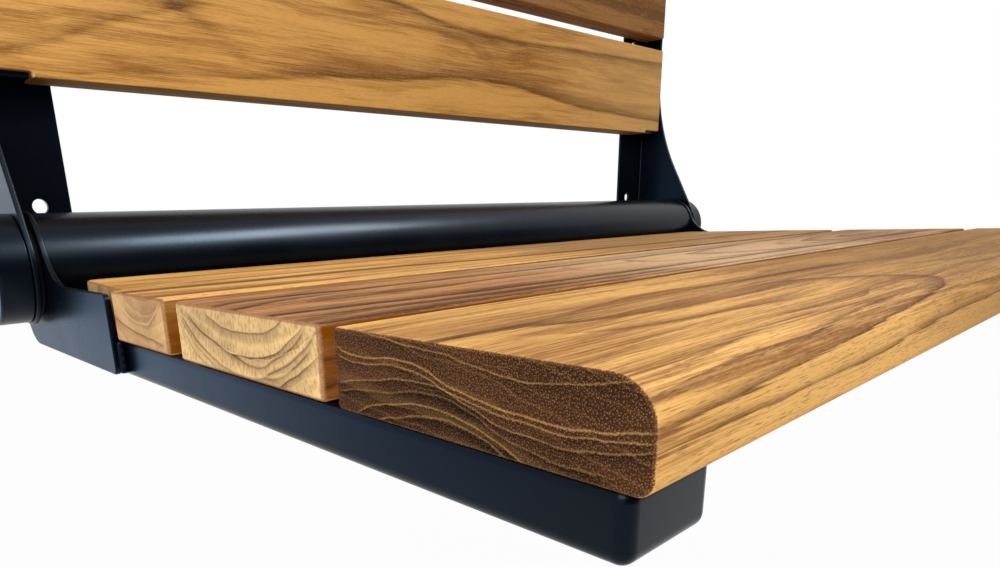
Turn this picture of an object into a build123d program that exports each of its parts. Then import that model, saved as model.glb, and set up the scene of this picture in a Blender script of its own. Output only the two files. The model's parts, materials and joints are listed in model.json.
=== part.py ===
"""Fold-up teak shower seat with a teak backrest, hung on two folded steel wall brackets.

Millimetres. +Z is up, +X is to the right of someone facing the wall, and the wall is the plane Y = 0,
so the seat stands out towards -Y. The origin is the centre of the four wall holes.
Right-hand pieces are modelled, and their left-hand twins are mirrored in the plane X = 0.
"""

import math
import os

from build123d import *

# Steel plates
plate_edge_radius = 0.9

# Seat boards
seat_width = 762.0
seat_board_thickness = 24.5
front_board_depth = 101.5
middle_board_depth = 106.0
rear_board_depth = 161.5
front_gap = 10.5
rear_gap = 13.5
nose_top_radius = 10.5
nose_bottom_radius = 4.5

# Edges of all boards
board_edge_radius = 2.0
board_corner_radius = 2.5
board_end_radius = 1.5

# Back boards
back_board_height = 98.0
back_board_thickness = 25.5
back_gap = 13.5
back_board_end_gap = 0.8

# Hinge tube and its place
tube_radius = 33.0
tube_wall = 2.5
tube_to_wall_gap = 20.0
tube_to_board_gap = 6.5
axis_above_seat = 7.3

# Wall bracket
bracket_thickness = 3.2
back_flange_width = 50.9
bend_inner_radius = 2.0
side_flange_setback = 4.0
side_flange_ring = 1.5
flare_above_board_edge = 11.0
flare_radius = 240.0
bracket_top_drop = 12.0
bracket_corner_radius = 8.0
ledge_length = 29.2
ledge_setback = 3.0
ledge_notch_radius = 2.4

# Wall holes
wall_hole_radius = 5.0
wall_hole_spacing_z = 181.5
wall_hole_inset = 30.9
wall_hole_above_tube = 5.25

# Hinge plate
hinge_plate_thickness = 3.2
hinge_plate_proud = 2.6
hinge_plate_ring = 1.5
hinge_plate_reach = 134.5
hinge_plate_below_seat = 1.5
hinge_plate_foot_rise = 1.6
hinge_web_radius = 35.0
hinge_heel_radius = 21.0
hinge_tail_radius = 4.0

# Notch in the rear board beside each hinge plate; it widens towards the tube
notch_front_gap = 2.0
notch_side_gap = 2.0
notch_rear_side_gap = 13.0
notch_inner_radius = 2.0
notch_rear_radius = 8.0

# Seat arm
arm_width = 35.0
arm_height = 19.5
arm_wall = 2.0
arm_corner_radius = 4.0
arm_nose_inset = 7.0
arm_tube_gap = 6.0
arm_spacer_thickness = 3.0

# Pivot
washer_thickness = 3.0
washer_inset = 3.5
side_clearance = 0.4
shoulder_radius = 9.0
running_clearance = 0.05
bush_wall = 3.0
bush_collar_thickness = 3.0
thread_radius = 6.0
thread_clearance = 0.2
bolt_head_across_flats = 24.0
bolt_head_height = 6.0
nut_wall = 10.0
nut_length = 20.0
bolt_end_gap = 2.0
cover_length = 18.5
cover_wall = 2.5
cover_edge_radius = 2.0
cover_clearance = 0.1

# Stop bumper
bumper_radius = 5.0
bumper_stem_radius = 3.0
bumper_below_axis = 23.0
bumper_clearance = 0.3
bumper_bend_gap = 0.1
bumper_edge_radius = 1.0

# Screws
screw_shank_radius = 2.4
screw_hole_clearance = 0.3
screw_tip_length = 4.0
pan_head_radius = 4.5
pan_head_height = 3.0
seat_screw_depth = 18.0
seat_screw_edge = 25.0
screw_access_radius = 6.0
flat_head_radius = 5.0
flat_head_height = 2.6
back_screw_depth = 17.0
back_screw_edge = 24.0

# Levels and planes that several pieces share
axis_y = -(tube_to_wall_gap + tube_radius)
axis_z = -wall_hole_spacing_z / 2 - wall_hole_above_tube - tube_radius
seat_top = axis_z - axis_above_seat
seat_bottom = seat_top - seat_board_thickness
arm_bottom = seat_bottom - arm_height
seat_rear = axis_y - tube_radius - tube_to_board_gap
rear_board_front = seat_rear - rear_board_depth
middle_board_rear = rear_board_front - rear_gap
middle_board_front = middle_board_rear - middle_board_depth
front_board_rear = middle_board_front - front_gap
seat_nose = front_board_rear - front_board_depth

back_rear = -bracket_thickness
back_front = back_rear - back_board_thickness
back_gap_middle = wall_hole_spacing_z / 2
lower_board_top = back_gap_middle - back_gap / 2
lower_board_bottom = lower_board_top - back_board_height
upper_board_bottom = back_gap_middle + back_gap / 2
upper_board_top = upper_board_bottom + back_board_height

# Places along the hinge axis, out from the middle
plate_outer = seat_width / 2 + hinge_plate_proud
plate_inner = plate_outer - hinge_plate_thickness
side_inner = plate_outer + side_clearance + washer_thickness
side_outer = side_inner + bracket_thickness
collar_outer = side_outer + bush_collar_thickness
arm_outer = plate_inner - arm_spacer_thickness
arm_middle = arm_outer - arm_width / 2
screw_column = side_outer - wall_hole_inset
bumper_column = side_inner - bend_inner_radius - bumper_radius - bumper_bend_gap
plate_front = axis_y - hinge_plate_reach
plate_ring_radius = tube_radius + hinge_plate_ring


def rod(radius, start, end, y=axis_y, z=axis_z):
    """Round bar along X from start to end."""
    bar = Cylinder(radius, end - start, align=(Align.CENTER, Align.CENTER, Align.MIN))
    return Pos(start, y, z) * Rot(0, 90, 0) * bar


def bar_back(radius, x, z, front, rear):
    """Round bar along Y from its front end to its rear end."""
    bar = Cylinder(radius, rear - front, align=(Align.CENTER, Align.CENTER, Align.MIN))
    return Pos(x, front, z) * Rot(-90, 0, 0) * bar


def bar_up(radius, x, y, low, high):
    """Round bar along Z."""
    bar = Cylinder(radius, high - low, align=(Align.CENTER, Align.CENTER, Align.MIN))
    return Pos(x, y, low) * bar


def block(low, high):
    """Plain block between two opposite corners."""
    size = [high[i] - low[i] for i in range(3)]
    return Pos(*low) * Box(*size, align=(Align.MIN, Align.MIN, Align.MIN))


def plate_across(outline, start, end):
    """Plate with an outline drawn as (y, z), reaching along X from start to end."""
    return extrude(Pos(start, 0, 0) * (Plane.YZ * outline), amount=end - start, dir=(1, 0, 0))


def round_corners(face, radius, *points):
    """Flat outline with its corners at the given points rounded."""
    corners = [face.vertices().sort_by_distance(Vector(*point, 0))[0] for point in points]
    return fillet(corners, radius)


def on_circle(centre, radius, angle):
    """Point of a circle at an angle."""
    return centre[0] + radius * math.cos(angle), centre[1] + radius * math.sin(angle)


def tangent_angle(point, centre, radius, turn):
    """Where a line from a point outside a circle touches it, on the side that turn (+1 or -1) picks."""
    dy, dz = point[0] - centre[0], point[1] - centre[1]
    return math.atan2(dz, dy) + turn * math.acos(radius / math.hypot(dy, dz))


def soften(board, axis, radius):
    """Board with the rims of its two faces across the given axis rounded over."""
    faces = board.faces().sort_by(axis)
    return fillet(faces[0].edges() + faces[-1].edges(), radius)


def front_slat():
    """Front board, with a bull nose along its front edge."""
    front, rear = (seat_nose, front_board_rear)
    section = make_face(Polyline(
        (front, seat_bottom), (rear, seat_bottom), (rear, seat_top), (front, seat_top), close=True))
    section = round_corners(section, nose_top_radius, (front, seat_top))
    section = round_corners(section, nose_bottom_radius, (front, seat_bottom))
    section = round_corners(section, board_edge_radius, (rear, seat_bottom), (rear, seat_top))
    board = plate_across(section, -seat_width / 2, seat_width / 2)
    return soften(board, Axis.X, board_end_radius)


def middle_slat():
    """Middle board, softened all round."""
    board = block((-seat_width / 2, middle_board_front, seat_bottom),
                  (seat_width / 2, middle_board_rear, seat_top))
    board = fillet(board.edges().filter_by(Axis.Z), board_corner_radius)
    return soften(board, Axis.Z, board_edge_radius)


def rear_slat():
    """Rear board, notched at both rear corners to clear the hinge plates."""
    end = seat_width / 2
    shoulder = plate_front - notch_front_gap
    inner = (arm_outer - notch_side_gap, shoulder)
    rear = (arm_outer - notch_rear_side_gap, seat_rear)
    right = [(end, rear_board_front), (end, shoulder), inner, rear]
    left = [(-x, y) for x, y in reversed(right)]
    plan = make_face(Polyline(*right, *left, close=True))
    for side in (1, -1):
        outer = [(side * end, rear_board_front), (side * end, shoulder)]
        plan = round_corners(plan, board_corner_radius, *outer)
        plan = round_corners(plan, notch_inner_radius, (side * inner[0], inner[1]))
        plan = round_corners(plan, notch_rear_radius, (side * rear[0], rear[1]))
    board = extrude(Pos(0, 0, seat_bottom) * plan, amount=seat_board_thickness, dir=(0, 0, 1))
    return soften(board, Axis.Z, board_edge_radius)


def back_slat(bottom, top, on_ledges):
    """Back board between the side flanges, cut out below for the ledges where it stands on them."""
    end = side_inner - back_board_end_gap
    low_corners = [(end, bottom)]
    inner_corners = []
    if on_ledges:
        notch_end = side_inner - ledge_length - ledge_notch_radius
        notch_top = bottom + bracket_thickness
        low_corners = [(end, notch_top), (notch_end, notch_top), (notch_end, bottom)]
        inner_corners = [(notch_end, notch_top)]
    right = [(end, top), *low_corners]
    left = [(-x, z) for x, z in reversed(right)]
    front = make_face(Polyline(*right, *left, close=True))
    for side in (1, -1):
        for x, z in inner_corners:
            front = round_corners(front, ledge_notch_radius, (side * x, z))
        outer = [(side * end, top), (side * low_corners[0][0], low_corners[0][1])]
        front = round_corners(front, board_corner_radius, *outer)
    front = Pos(0, back_front, 0) * (Plane.XZ * front)
    board = extrude(front, amount=back_board_thickness, dir=(0, 1, 0))
    return soften(board, Axis.Y, board_edge_radius)


def side_outline():
    """Outline of the side flange: narrow beside the back boards, flaring to a round end at the pivot."""
    radius = tube_radius + side_flange_ring
    axis = (axis_y, axis_z)
    top = upper_board_top - bracket_top_drop
    edge = back_front + side_flange_setback
    flare = (edge, lower_board_bottom + flare_above_board_edge)
    foot = (0, axis_z - tube_radius)
    rise = tangent_angle(flare, axis, radius, 1)
    fall = tangent_angle(foot, axis, radius, -1) + 2 * math.pi
    round_end = [on_circle(axis, radius, angle) for angle in (rise, (rise + fall) / 2, fall)]
    outline = make_face([
        Polyline(foot, (0, top), (edge, top), flare, round_end[0]),
        ThreePointArc(*round_end),
        Line(round_end[-1], foot)])
    outline = round_corners(outline, flare_radius, flare)
    return round_corners(outline, bracket_corner_radius, (edge, top))


def is_side_rim(edge):
    """Whether an edge runs round the free edge of the side flange, in front of the bend."""
    middle = edge.center()
    on_face = min(abs(middle.X - side_inner), abs(middle.X - side_outer)) < plate_edge_radius / 10
    return on_face and middle.Y < -bracket_thickness - bend_inner_radius - plate_edge_radius


def wall_bracket():
    """Folded bracket: back flange, side flange and the ledge under the lowest back board."""
    inner = side_outer - back_flange_width
    ring = tube_radius + side_flange_ring
    front = axis_y - ring
    low, high = (axis_z - ring, upper_board_top - bracket_top_drop)
    angle = make_face(Polyline(
        (inner, 0), (side_outer, 0), (side_outer, front), (side_inner, front),
        (side_inner, -bracket_thickness), (inner, -bracket_thickness), close=True))
    angle = round_corners(angle, bracket_thickness + bend_inner_radius, (side_outer, 0))
    angle = round_corners(angle, bend_inner_radius, (side_inner, -bracket_thickness))
    folded = extrude(Pos(0, 0, low) * angle, amount=high - low, dir=(0, 0, 1))
    bracket = folded & plate_across(side_outline(), inner, side_outer)
    free_corners = bracket.edges().filter_by(Axis.Y).group_by(Axis.X)[0]
    bracket = fillet(free_corners, bracket_corner_radius)
    side_rims = bracket.edges().filter_by(is_side_rim)
    bracket = fillet(side_rims, plate_edge_radius)
    bracket += block((side_inner - ledge_length, back_front + ledge_setback, lower_board_bottom),
                     (side_inner, back_rear, lower_board_bottom + bracket_thickness))
    for z in (-wall_hole_spacing_z / 2, wall_hole_spacing_z / 2):
        bracket -= bar_back(wall_hole_radius, screw_column, z, -bracket_thickness, 0)
    bracket -= rod(shoulder_radius + running_clearance + bush_wall, side_inner, side_outer)
    bracket -= bar_back(bumper_stem_radius, bumper_column, axis_z - bumper_below_axis, -bracket_thickness, 0)
    for z in back_screw_heights():
        bracket -= Pos(screw_column, 0, z) * Rot(90, 0, 0) * flat_screw(screw_hole_clearance)
    return bracket


def hinge_plate():
    """Hinge plate: ring round the tube, hollow web, tail along the arm and heel against the stop."""
    axis = (axis_y, axis_z)
    top = seat_top - hinge_plate_below_seat
    bottom = arm_bottom + hinge_plate_foot_rise
    rear = axis_y + plate_ring_radius
    web_rise = top + hinge_web_radius - axis_z
    web_reach = math.sqrt((plate_ring_radius + hinge_web_radius) ** 2 - web_rise ** 2)
    web = (axis_y - web_reach, axis_z + web_rise)
    turn = math.atan2(web_rise, -web_reach)
    ring = [on_circle(axis, plate_ring_radius, angle) for angle in (0, turn / 2, turn)]
    hollow = [on_circle(web, hinge_web_radius, angle)
              for angle in (turn - math.pi, turn / 2 - 0.75 * math.pi, -math.pi / 2)]
    outline = make_face([
        ThreePointArc(*ring),
        ThreePointArc(*hollow),
        Polyline(hollow[-1], (plate_front, top), (plate_front, bottom), (rear, bottom), ring[0])])
    outline = round_corners(outline, hinge_heel_radius, (rear, bottom))
    outline = round_corners(outline, hinge_tail_radius, (plate_front, top), (plate_front, bottom))
    plate = soften(plate_across(outline, plate_inner, plate_outer), Axis.X, plate_edge_radius)
    return plate - rod(thread_radius + thread_clearance, plate_inner, plate_outer)


def arm_rear():
    """Where a seat arm ends, just short of the tube."""
    tube_drop = axis_z - seat_bottom
    half_chord = math.sqrt(max(tube_radius ** 2 - tube_drop ** 2, 0))
    return axis_y - half_chord - arm_tube_gap


def arm_spacer():
    """Flat bar that holds the seat arm clear of the hinge plate."""
    return block((arm_outer, plate_front + hinge_tail_radius, arm_bottom + arm_corner_radius),
                 (plate_inner, arm_rear(), seat_bottom - arm_corner_radius))


def seat_arm():
    """Seat arm: rectangular tube, closed at both ends, drilled for the seat screws."""
    front, rear = (seat_nose + arm_nose_inset, arm_rear())
    inner = arm_outer - arm_width
    arm = block((inner, front, arm_bottom), (arm_outer, rear, seat_bottom))
    rear_rim = arm.faces().sort_by(Axis.Y)[-1].edges()
    arm = fillet([edge for edge in arm.edges() if edge not in rear_rim], arm_corner_radius)
    cavity = block((inner + arm_wall, front + arm_wall, arm_bottom + arm_wall),
                   (arm_outer - arm_wall, rear - arm_wall, seat_bottom - arm_wall))
    arm -= fillet(cavity.edges(), arm_corner_radius - arm_wall)
    hole_radius = screw_shank_radius + screw_hole_clearance
    for y in seat_screw_places():
        arm -= bar_up(hole_radius, arm_middle, y, seat_bottom - arm_wall, seat_bottom)
        arm -= bar_up(screw_access_radius, arm_middle, y, arm_bottom, arm_bottom + arm_wall)
    return arm


def hinge_tube():
    """Round tube between the two hinge plates."""
    bore = rod(tube_radius - tube_wall, -plate_inner, plate_inner)
    return rod(tube_radius, -plate_inner, plate_inner) - bore


def pivot_cover():
    """Round cover over the pivot bolt, as wide as the tube."""
    end = side_outer + cover_length
    cover = rod(tube_radius, side_outer, end)
    inner_rim, outer_rim = (face.edges() for face in cover.faces().filter_by(Axis.X).sort_by(Axis.X))
    cover = fillet(outer_rim, cover_edge_radius)
    cover = fillet(cover.edges().sort_by_distance(inner_rim[0].center())[:1], plate_edge_radius)
    return cover - rod(tube_radius - cover_wall, side_outer, end - cover_wall)


def pivot_bush():
    """Flanged bush in the side flange; its collar carries the cover."""
    bore = shoulder_radius + running_clearance
    collar = rod(tube_radius - cover_wall - cover_clearance, side_outer, collar_outer)
    return collar + rod(bore + bush_wall, side_inner, side_outer) - rod(bore, side_inner, collar_outer)


def thrust_washer():
    """Washer between the side flange and the hinge plate."""
    start = side_inner - washer_thickness
    hole = rod(shoulder_radius + side_clearance, start, side_inner)
    return rod(tube_radius - washer_inset, start, side_inner) - hole


def pivot_bolt():
    """Shoulder bolt: hexagon head inside the cover, shoulder in the bush, thread in the nut."""
    head_start = collar_outer + side_clearance
    hexagon = RegularPolygon(bolt_head_across_flats / math.sqrt(3), 6)
    head = plate_across(Pos(axis_y, axis_z) * hexagon, head_start, head_start + bolt_head_height)
    thread = rod(thread_radius, plate_inner - nut_length + bolt_end_gap, plate_outer)
    return head + rod(shoulder_radius, plate_outer, head_start) + thread


def pivot_nut():
    """Threaded boss inside the tube, on the inner face of the hinge plate."""
    start = plate_inner - nut_length
    return rod(thread_radius + nut_wall, start, plate_inner) - rod(thread_radius, start, plate_inner)


def stop_bumper():
    """Rubber stop on the back flange, just behind the heel of the hinge plate."""
    z = axis_z - bumper_below_axis
    face = axis_y + plate_ring_radius + bumper_clearance
    pad = bar_back(bumper_radius, bumper_column, z, face, back_rear)
    pad = fillet(pad.faces().sort_by(Axis.Y)[0].edges(), bumper_edge_radius)
    return pad + bar_back(bumper_stem_radius, bumper_column, z, back_rear, 0)


def turned(profile):
    """Solid turned about Z from half a section given as radius and height."""
    return revolve(Plane.XZ * make_face(Polyline(*profile, close=True)), Axis.Z)


def pan_screw():
    """Pan-head screw pointing up, with the underside of its head at height 0."""
    end = arm_wall + seat_screw_depth
    return turned([(0, -pan_head_height), (pan_head_radius, -pan_head_height), (pan_head_radius, 0),
                   (screw_shank_radius, 0), (screw_shank_radius, end - screw_tip_length), (0, end)])


def flat_screw(growth=0.0):
    """Countersunk screw pointing up, with the top of its head at height 0; growth widens it for a hole."""
    head, shank = (flat_head_radius + growth, screw_shank_radius + growth)
    end = bracket_thickness + back_screw_depth
    return turned([(0, 0), (head, 0), (shank, flat_head_height), (shank, end - screw_tip_length), (0, end)])


def seat_screw_places():
    """Y of each screw along an arm: two in each seat board."""
    boards = [(seat_nose, front_board_rear), (middle_board_front, middle_board_rear),
              (rear_board_front, seat_rear)]
    return [y for front, rear in boards for y in (front + seat_screw_edge, rear - seat_screw_edge)]


def back_screw_heights():
    """Z of each screw along a bracket: two in each back board."""
    boards = [(lower_board_bottom, lower_board_top), (upper_board_bottom, upper_board_top)]
    return [z for low, high in boards for z in (low + back_screw_edge, high - back_screw_edge)]


def placed_seat_screws():
    """Every seat screw where it sits, head inside the arm."""
    screw = pan_screw()
    level = seat_bottom - arm_wall
    return [Pos(side * arm_middle, y, level) * screw for side in (-1, 1) for y in seat_screw_places()]


def placed_back_screws():
    """Every back screw where it sits, head flush with the back of the bracket."""
    screw = Rot(90, 0, 0) * flat_screw()
    return [Pos(side * screw_column, 0, z) * screw for side in (-1, 1) for z in back_screw_heights()]


seat_screws = placed_seat_screws()
back_screws = placed_back_screws()

nodes = {
    "hinge_tube": hinge_tube(),
    "front_seat_slat": front_slat() - seat_screws,
    "middle_seat_slat": middle_slat() - seat_screws,
    "rear_seat_slat": rear_slat() - seat_screws,
    "lower_back_slat": back_slat(lower_board_bottom, lower_board_top, on_ledges=True) - back_screws,
    "upper_back_slat": back_slat(upper_board_bottom, upper_board_top, on_ledges=False) - back_screws,
    "seat_slat_screws": Compound(children=seat_screws),
    "back_slat_screws": Compound(children=back_screws),
}

handed = {
    "wall_bracket": wall_bracket(),
    "hinge_plate": hinge_plate(),
    "seat_arm": seat_arm(),
    "arm_spacer": arm_spacer(),
    "pivot_cover": pivot_cover(),
    "pivot_bush": pivot_bush(),
    "thrust_washer": thrust_washer(),
    "pivot_bolt": pivot_bolt(),
    "pivot_nut": pivot_nut(),
    "stop_bumper": stop_bumper(),
}
for name, piece in handed.items():
    nodes[f"right_{name}"] = piece
    nodes[f"left_{name}"] = mirror(piece, about=Plane.YZ)

os.makedirs("parts", exist_ok=True)
for name, piece in nodes.items():
    export_step(piece, f"parts/{name}.step")
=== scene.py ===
"""Looks of the fold-up teak shower seat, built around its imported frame.

Metres, in the frame of the solids: +Z is up, the wall is the plane Y = 0 and the seat stands out towards -Y.
The boards are modelled again with softened edges and a solid teak figure, so that growth rings run on from
the faces over the edges into the end grain. The screws are turned again with their drives, each arm gets a
bead of weld, and all other pieces of steel, nylon and rubber keep their solids.
"""

import json
import logging
import math
from dataclasses import dataclass, field
from enum import Enum
from typing import Sequence, Union

import bmesh
import bpy
from mathutils import Matrix, Vector

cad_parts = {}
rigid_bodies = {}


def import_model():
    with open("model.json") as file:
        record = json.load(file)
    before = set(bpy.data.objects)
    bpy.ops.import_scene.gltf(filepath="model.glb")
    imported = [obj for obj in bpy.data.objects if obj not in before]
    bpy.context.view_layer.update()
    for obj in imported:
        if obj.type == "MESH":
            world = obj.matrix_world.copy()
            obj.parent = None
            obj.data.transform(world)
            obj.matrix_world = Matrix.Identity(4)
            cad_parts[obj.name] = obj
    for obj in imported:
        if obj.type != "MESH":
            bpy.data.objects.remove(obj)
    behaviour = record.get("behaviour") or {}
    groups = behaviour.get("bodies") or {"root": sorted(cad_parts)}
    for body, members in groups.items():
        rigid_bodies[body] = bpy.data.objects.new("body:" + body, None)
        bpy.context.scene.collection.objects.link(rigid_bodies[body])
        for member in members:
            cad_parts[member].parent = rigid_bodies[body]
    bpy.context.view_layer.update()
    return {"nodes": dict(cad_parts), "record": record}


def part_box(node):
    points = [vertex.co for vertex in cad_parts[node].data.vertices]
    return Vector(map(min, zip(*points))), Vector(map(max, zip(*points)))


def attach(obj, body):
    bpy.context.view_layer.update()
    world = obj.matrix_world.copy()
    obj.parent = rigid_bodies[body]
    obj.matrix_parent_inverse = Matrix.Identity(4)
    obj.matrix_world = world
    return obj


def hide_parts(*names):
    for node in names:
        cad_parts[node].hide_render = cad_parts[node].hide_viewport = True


for leftover in list(bpy.data.objects):
    bpy.data.objects.remove(leftover)
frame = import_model()

LOG = logging.getLogger("shower_seat")
MM = 0.001
PER_METRE = 1000.0
SAME_LEVEL = 0.1 * MM
MIDDLE = 0.5
Colour = tuple[float, float, float]
Levels = tuple[float, float]
Path = tuple[tuple[float, float], ...]
Feed = Union["Signal", bpy.types.NodeSocket, float, Sequence[float]]


class Carrier(Enum):
    """Body of the frame that a piece moves with."""

    WALL = "wall_frame"
    SEAT = "folding_seat"


class Face(Enum):
    """Which way the show face of a board looks."""

    UP = "up"
    FRONT = "front"


class Axis(Enum):
    """Axis of the frame, by its place in a point."""

    X = 0
    Y = 1
    Z = 2


@dataclass(frozen=True)
class Signal:
    """A value on its way through a node tree, so that sums of values read as sums."""

    wiring: "Wiring"
    socket: bpy.types.NodeSocket

    def __add__(self, other: Feed) -> "Signal":
        """Sum of two values."""
        return self.wiring.math("ADD", self, other)

    def __sub__(self, other: Feed) -> "Signal":
        """Difference of two values."""
        return self.wiring.math("SUBTRACT", self, other)

    def __rsub__(self, other: Feed) -> "Signal":
        """Difference of a number and a value."""
        return self.wiring.math("SUBTRACT", other, self)

    def __mul__(self, other: Feed) -> "Signal":
        """Product of two values."""
        return self.wiring.math("MULTIPLY", self, other)

    def __truediv__(self, other: Feed) -> "Signal":
        """Quotient of two values."""
        return self.wiring.math("DIVIDE", self, other)

    def __rtruediv__(self, other: Feed) -> "Signal":
        """Quotient of a number and a value."""
        return self.wiring.math("DIVIDE", other, self)

    __radd__ = __add__
    __rmul__ = __mul__

    def swing(self) -> "Signal":
        """The value measured from the middle of its range of 0 to 1."""
        return self - MIDDLE

    def dimming(self, amount: float) -> "Signal":
        """Factor of 1 where the value is 1, and less by an amount where it is 0."""
        return self * amount + (1.0 - amount)


class Wiring:
    """One node tree, with short ways to place its nodes and join them."""

    def __init__(self, tree: bpy.types.NodeTree) -> None:
        """Start on a node tree.

        Args:
            tree: The tree that receives the nodes.
        """
        self.tree = tree

    def feed(self, socket: bpy.types.NodeSocket, value: Feed) -> None:
        """Join a value to a socket, or set the socket where the value is a constant.

        Args:
            socket: The input to feed.
            value: A signal, an output socket, a number or a list of numbers.
        """
        if isinstance(value, Signal):
            value = value.socket
        if isinstance(value, bpy.types.NodeSocket):
            self.tree.links.new(value, socket)
        elif isinstance(value, (int, float)):
            socket.default_value = value
        else:
            extra = (1.0,) if socket.type == "RGBA" and len(value) == 3 else ()
            socket.default_value = (*value, *extra)

    def place(self, kind: str, feeds: dict[str | int, Feed] | None = None,
              **settings: object) -> bpy.types.Node:
        """Place a node.

        Args:
            kind: Node type without its ShaderNode prefix.
            feeds: What feeds its inputs, by name or index.
            settings: Properties of the node.

        Returns:
            The new node.
        """
        node = self.tree.nodes.new("ShaderNode" + kind)
        for name, value in settings.items():
            setattr(node, name, value)
        for key, value in (feeds or {}).items():
            self.feed(node.inputs[key], value)
        return node

    def signal(self, node: bpy.types.Node, output: str | int = 0) -> Signal:
        """One output of a node, ready for sums."""
        return Signal(self, node.outputs[output])

    def signals(self, node: bpy.types.Node, *outputs: str) -> tuple[Signal, ...]:
        """Several outputs of a node, ready for sums."""
        return tuple(self.signal(node, output) for output in outputs)

    def math(self, operation: str, *values: Feed, clamp: bool = False) -> Signal:
        """Math node of one operation on up to three values."""
        feeds = dict(enumerate(values))
        return self.signal(self.place("Math", feeds, operation=operation, use_clamp=clamp))

    def ramp(self, value: Feed, low: float, high: float) -> Signal:
        """Smooth step from 0 at low to 1 at high."""
        feeds = {"Value": value, "From Min": low, "From Max": high}
        return self.signal(self.place("MapRange", feeds, interpolation_type="SMOOTHSTEP"))

    def fall(self, value: Feed, low: float, high: float) -> Signal:
        """Smooth step from 1 at low to 0 at high."""
        return 1.0 - self.ramp(value, low, high)

    def fade_out(self, value: Signal) -> Signal:
        """1 at zero, fading out as the value grows."""
        return self.math("EXPONENT", value * -1.0)

    def blend(self, share: Feed, first: Feed, second: Feed) -> Signal:
        """Mixed colour of two colours.

        Args:
            share: Share of the second colour.
            first: First colour.
            second: Second colour.

        Returns:
            The mixed colour.
        """
        node = self.place("Mix", data_type="RGBA", blend_type="MIX")
        for index, value in ((0, share), (6, first), (7, second)):
            self.feed(node.inputs[index], value)
        return self.signal(node, 2)

    def split(self, vector: Feed) -> tuple[Signal, Signal, Signal]:
        """The three parts of a vector."""
        node = self.place("SeparateXYZ", {0: vector})
        return self.signal(node, 0), self.signal(node, 1), self.signal(node, 2)

    def stretched(self, vector: Feed, length: float, width: float, shift: Signal) -> Signal:
        """Place measured in lengths along the grain and widths across it.

        Args:
            vector: Place on the board in mm.
            length: Length of one unit along the grain.
            width: Length of one unit across the grain.
            shift: Moves the pattern, so that boards differ.

        Returns:
            The measured place.
        """
        unit = (1 / length, 1 / width, 1 / width)
        moved = self.signal(self.place("CombineXYZ", {0: shift, 1: shift, 2: shift}))
        return self.signal(self.place("VectorMath", {0: vector, 1: unit, 2: moved}, operation="MULTIPLY_ADD"))

    def noise(self, vector: Feed, detail: float = 2.0, roughness: float = 0.5) -> Signal:
        """Soft noise from 0 to 1."""
        feeds = {"Vector": vector, "Scale": 1.0, "Detail": detail, "Roughness": roughness}
        return self.signal(self.place("TexNoise", feeds))

    def seen(self) -> Signal:
        """Whether a ray shows the surface, so that it can look white without lighting more.

        Returns:
            1 for what the camera, a mirror or glass shows, and 0 for light that falls on things.
        """
        rays = self.place("LightPath").outputs
        direct = self.math("MAXIMUM", rays["Is Camera Ray"], rays["Is Glossy Ray"])
        return self.math("MAXIMUM", direct, rays["Is Transmission Ray"])


def new_material(name: str) -> tuple[bpy.types.Material, Wiring]:
    """Start a material with an empty node tree.

    Args:
        name: Name of the material.

    Returns:
        The material and the wiring of its tree.
    """
    made = bpy.data.materials.new(name)
    made.use_nodes = True
    made.node_tree.nodes.clear()
    return made, Wiring(made.node_tree)


def new_object(name: str, bm: bmesh.types.BMesh, smooth: bool = True) -> bpy.types.Object:
    """Make an object of a mesh in progress, which is used up.

    Args:
        name: Name of the object and of its mesh.
        bm: The mesh in progress.
        smooth: Whether its faces are shaded smooth.

    Returns:
        The object, linked into the scene.
    """
    mesh = bpy.data.meshes.new(name)
    bm.to_mesh(mesh)
    bm.free()
    if smooth:
        mesh.shade_smooth()
    made = bpy.data.objects.new(name, mesh)
    bpy.context.scene.collection.objects.link(made)
    return made


def new_group(name: str, inputs: dict[str, float | None],
              outputs: Sequence[str]) -> tuple[Wiring, dict[str, Signal]]:
    """Start a shader node group with named sockets.

    Args:
        name: Name of the group.
        inputs: Input names with their defaults, or None for a vector.
        outputs: Names of the outputs, which are all values.

    Returns:
        The wiring of the group and its inputs by name.
    """
    tree = bpy.data.node_groups.new(name, "ShaderNodeTree")
    for label, default in inputs.items():
        kind = "NodeSocketVector" if default is None else "NodeSocketFloat"
        socket = tree.interface.new_socket(label, in_out="INPUT", socket_type=kind)
        if default is not None:
            socket.default_value = default
    for label in outputs:
        tree.interface.new_socket(label, in_out="OUTPUT", socket_type="NodeSocketFloat")
    wiring = Wiring(tree)
    entry = tree.nodes.new("NodeGroupInput")
    return wiring, {label: wiring.signal(entry, label) for label in inputs}


def close_group(wiring: Wiring, outputs: dict[str, Signal]) -> bpy.types.NodeTree:
    """Join the outputs of a group.

    Args:
        wiring: The wiring of the group.
        outputs: What each output gives.

    Returns:
        The finished group.
    """
    leave = wiring.tree.nodes.new("NodeGroupOutput")
    for label, value in outputs.items():
        wiring.feed(leave.inputs[label], value)
    return wiring.tree


@dataclass(frozen=True)
class Streaks:
    """Noise drawn out along the grain: the size of one streak in mm, and the levels of its full contrast."""

    length: float
    width: float
    detail: float
    low: float = 0.3
    high: float = 0.7
    shift: float = 0.0
    roughness: float = 0.6

    def draw(self, w: Wiring, place: Feed, seed: Signal) -> Signal:
        """The noise from 0 to 1, moved by a seed so that boards differ."""
        spot = w.stretched(place, self.length, self.width, seed + self.shift)
        return w.noise(spot, self.detail, self.roughness)

    def contrast(self, w: Wiring, place: Feed, seed: Signal) -> Signal:
        """The noise with full contrast between its two levels."""
        return w.ramp(self.draw(w, place, seed), self.low, self.high)


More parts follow.
